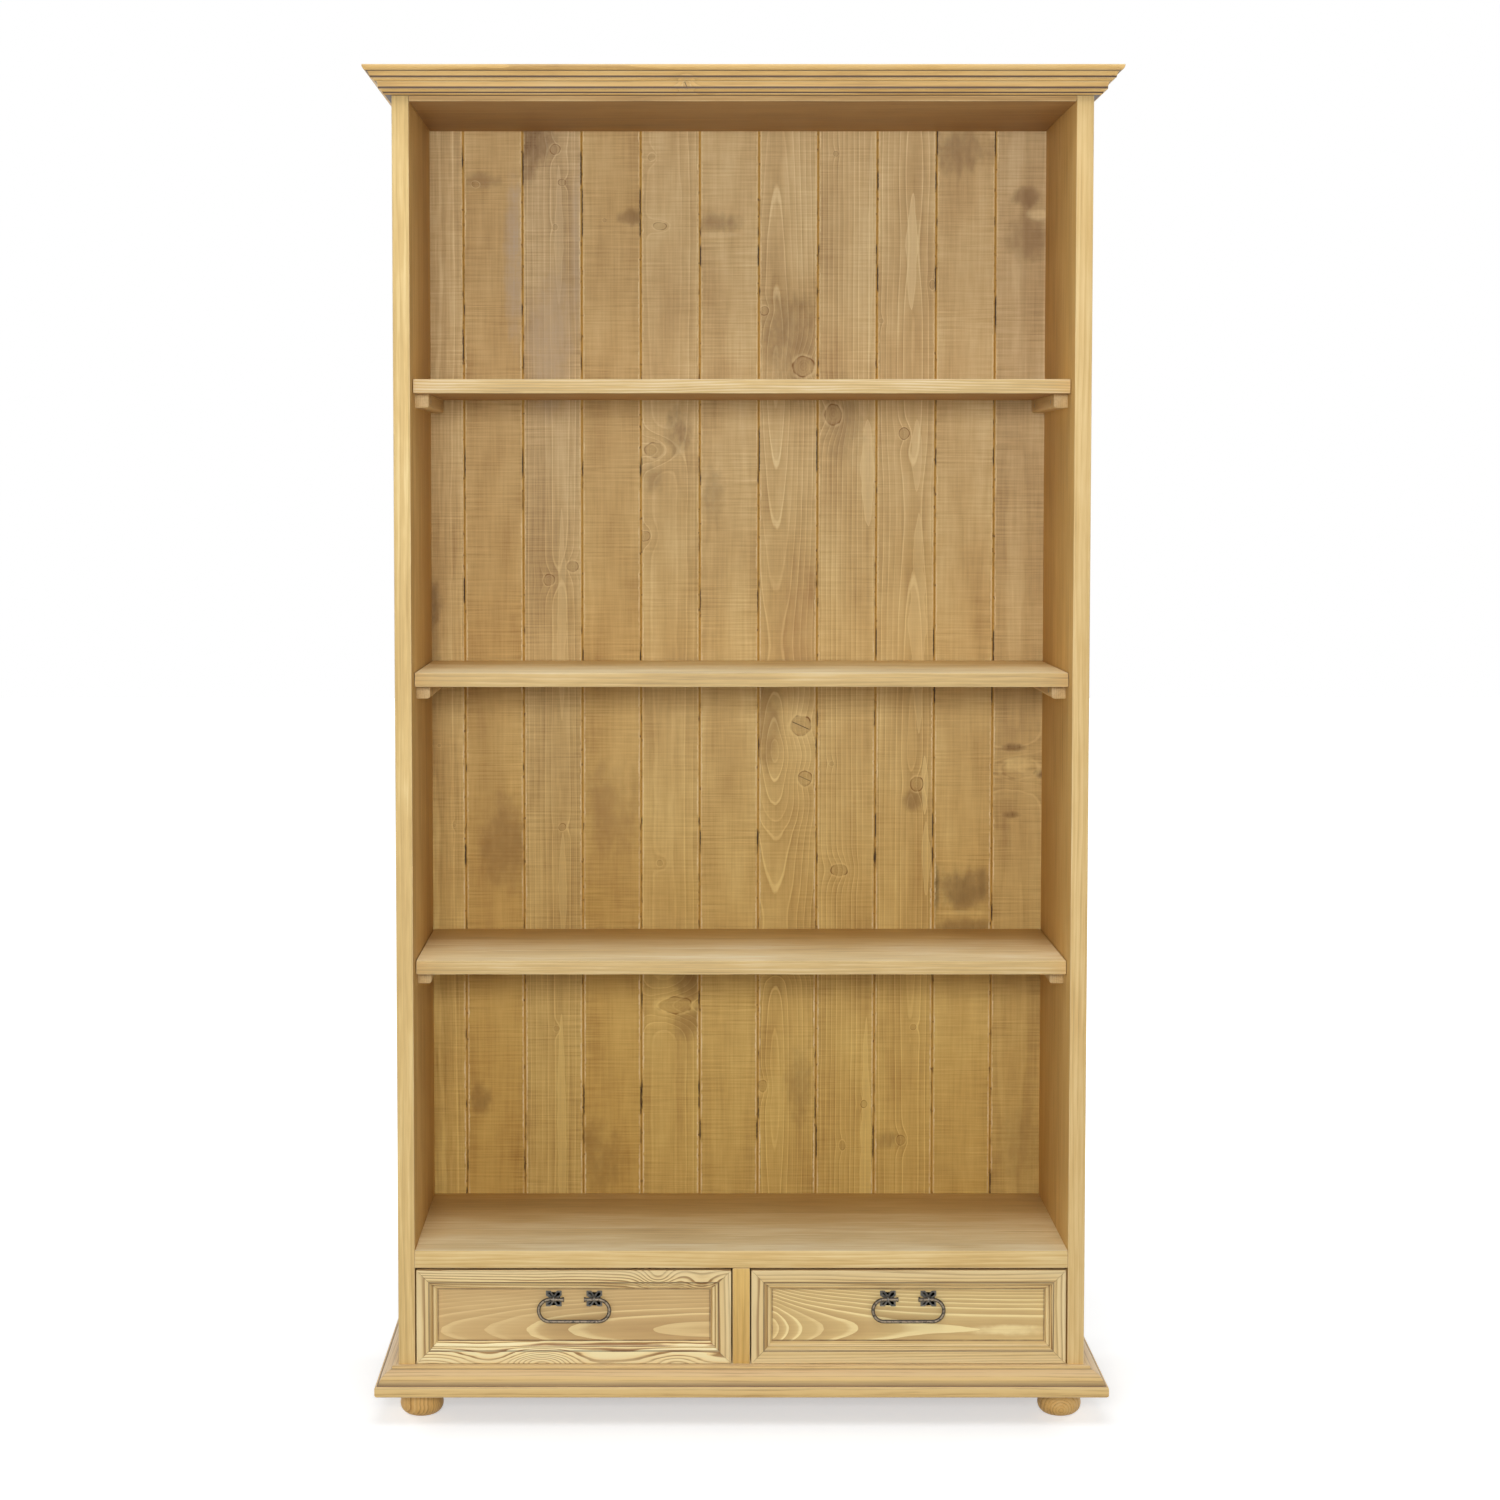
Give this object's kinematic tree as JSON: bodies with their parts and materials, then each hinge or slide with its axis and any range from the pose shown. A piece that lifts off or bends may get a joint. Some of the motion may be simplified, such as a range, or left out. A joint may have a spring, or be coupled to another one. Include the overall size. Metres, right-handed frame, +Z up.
{
  "type": "bookcase",
  "caption": "Open-fronted pine bookcase: fixed shelves on cleats over framed drawers with drop bail pulls, under a cornice, on a base moulding and turned feet.",
  "frame": {"origin": "on the floor, under the middle of the whole piece", "axes": "+X to the right seen from the front, +Y to the back, +Z up"},
  "size_m": [1.1, 0.409, 2],
  "materials": {
    "waxed_pine": "brushed, stained honey and waxed, satin",
    "rough_sawn_pine": "rough sawn, stained and waxed, matt",
    "plain_pine": "planed, bare",
    "black_iron": "forged, blackened, matt",
    "brown_iron": "forged, dark brown patina, half gloss",
    "zinc_steel": "zinc plated",
    "beech": "plain"
  },
  "bodies": {
    "case": {"left_side": "waxed_pine", "right_side": "waxed_pine", "top_panel": "waxed_pine", "crown_board": "waxed_pine", "deck_panel": "waxed_pine", "bottom_panel": "waxed_pine", "drawer_divider": "waxed_pine", "back_board_01": "rough_sawn_pine", "back_board_02": "rough_sawn_pine", "back_board_03": "rough_sawn_pine", "back_board_04": "rough_sawn_pine", "back_board_05": "rough_sawn_pine", "back_board_06": "rough_sawn_pine", "back_board_07": "rough_sawn_pine", "back_board_08": "rough_sawn_pine", "back_board_09": "rough_sawn_pine", "back_board_10": "rough_sawn_pine", "back_board_11": "rough_sawn_pine", "shelf_lower": "waxed_pine", "shelf_middle": "waxed_pine", "shelf_upper": "waxed_pine", "lower_shelf_cleats": "waxed_pine", "middle_shelf_cleats": "waxed_pine", "upper_shelf_cleats": "waxed_pine", "cornice_front": "waxed_pine", "cornice_left": "waxed_pine", "cornice_right": "waxed_pine", "base_front": "waxed_pine", "base_left": "waxed_pine", "base_right": "waxed_pine", "front_left_foot": "waxed_pine", "front_right_foot": "waxed_pine", "rear_left_foot": "waxed_pine", "rear_right_foot": "waxed_pine", "wood_screws": "zinc_steel", "dowels": "beech"},
    "left_drawer": {"left_drawer_top_rail": "waxed_pine", "left_drawer_bottom_rail": "waxed_pine", "left_drawer_left_stile": "waxed_pine", "left_drawer_right_stile": "waxed_pine", "left_drawer_panel": "waxed_pine", "left_drawer_left_side": "plain_pine", "left_drawer_right_side": "plain_pine", "left_drawer_back": "plain_pine", "left_drawer_bottom": "plain_pine", "left_pull_rosettes": "black_iron", "left_pull_eyes": "black_iron"},
    "right_drawer": {"right_drawer_top_rail": "waxed_pine", "right_drawer_bottom_rail": "waxed_pine", "right_drawer_left_stile": "waxed_pine", "right_drawer_right_stile": "waxed_pine", "right_drawer_panel": "waxed_pine", "right_drawer_left_side": "plain_pine", "right_drawer_right_side": "plain_pine", "right_drawer_back": "plain_pine", "right_drawer_bottom": "plain_pine", "right_pull_rosettes": "black_iron", "right_pull_eyes": "black_iron"},
    "left_bail": {"left_pull_bail": "brown_iron"},
    "right_bail": {"right_pull_bail": "brown_iron"}
  },
  "joints": [
    {"name": "left_drawer_slide", "type": "slide", "parent": "case", "child": "left_drawer", "axis": [0, -1, 0], "range_m": [0, 0.27]},
    {"name": "left_bail_swing", "type": "hinge", "parent": "left_drawer", "child": "left_bail", "pos_m": [-0.2495, -0.1582, 0.1822], "axis": [-1, 0, 0], "range_deg": [-5, 150]},
    {"name": "right_drawer_slide", "type": "slide", "parent": "case", "child": "right_drawer", "axis": [0, -1, 0], "range_m": [0, 0.27]},
    {"name": "right_bail_swing", "type": "hinge", "parent": "right_drawer", "child": "right_bail", "pos_m": [0.2495, -0.1582, 0.1822], "axis": [-1, 0, 0], "range_deg": [-5, 150]}
  ]
}
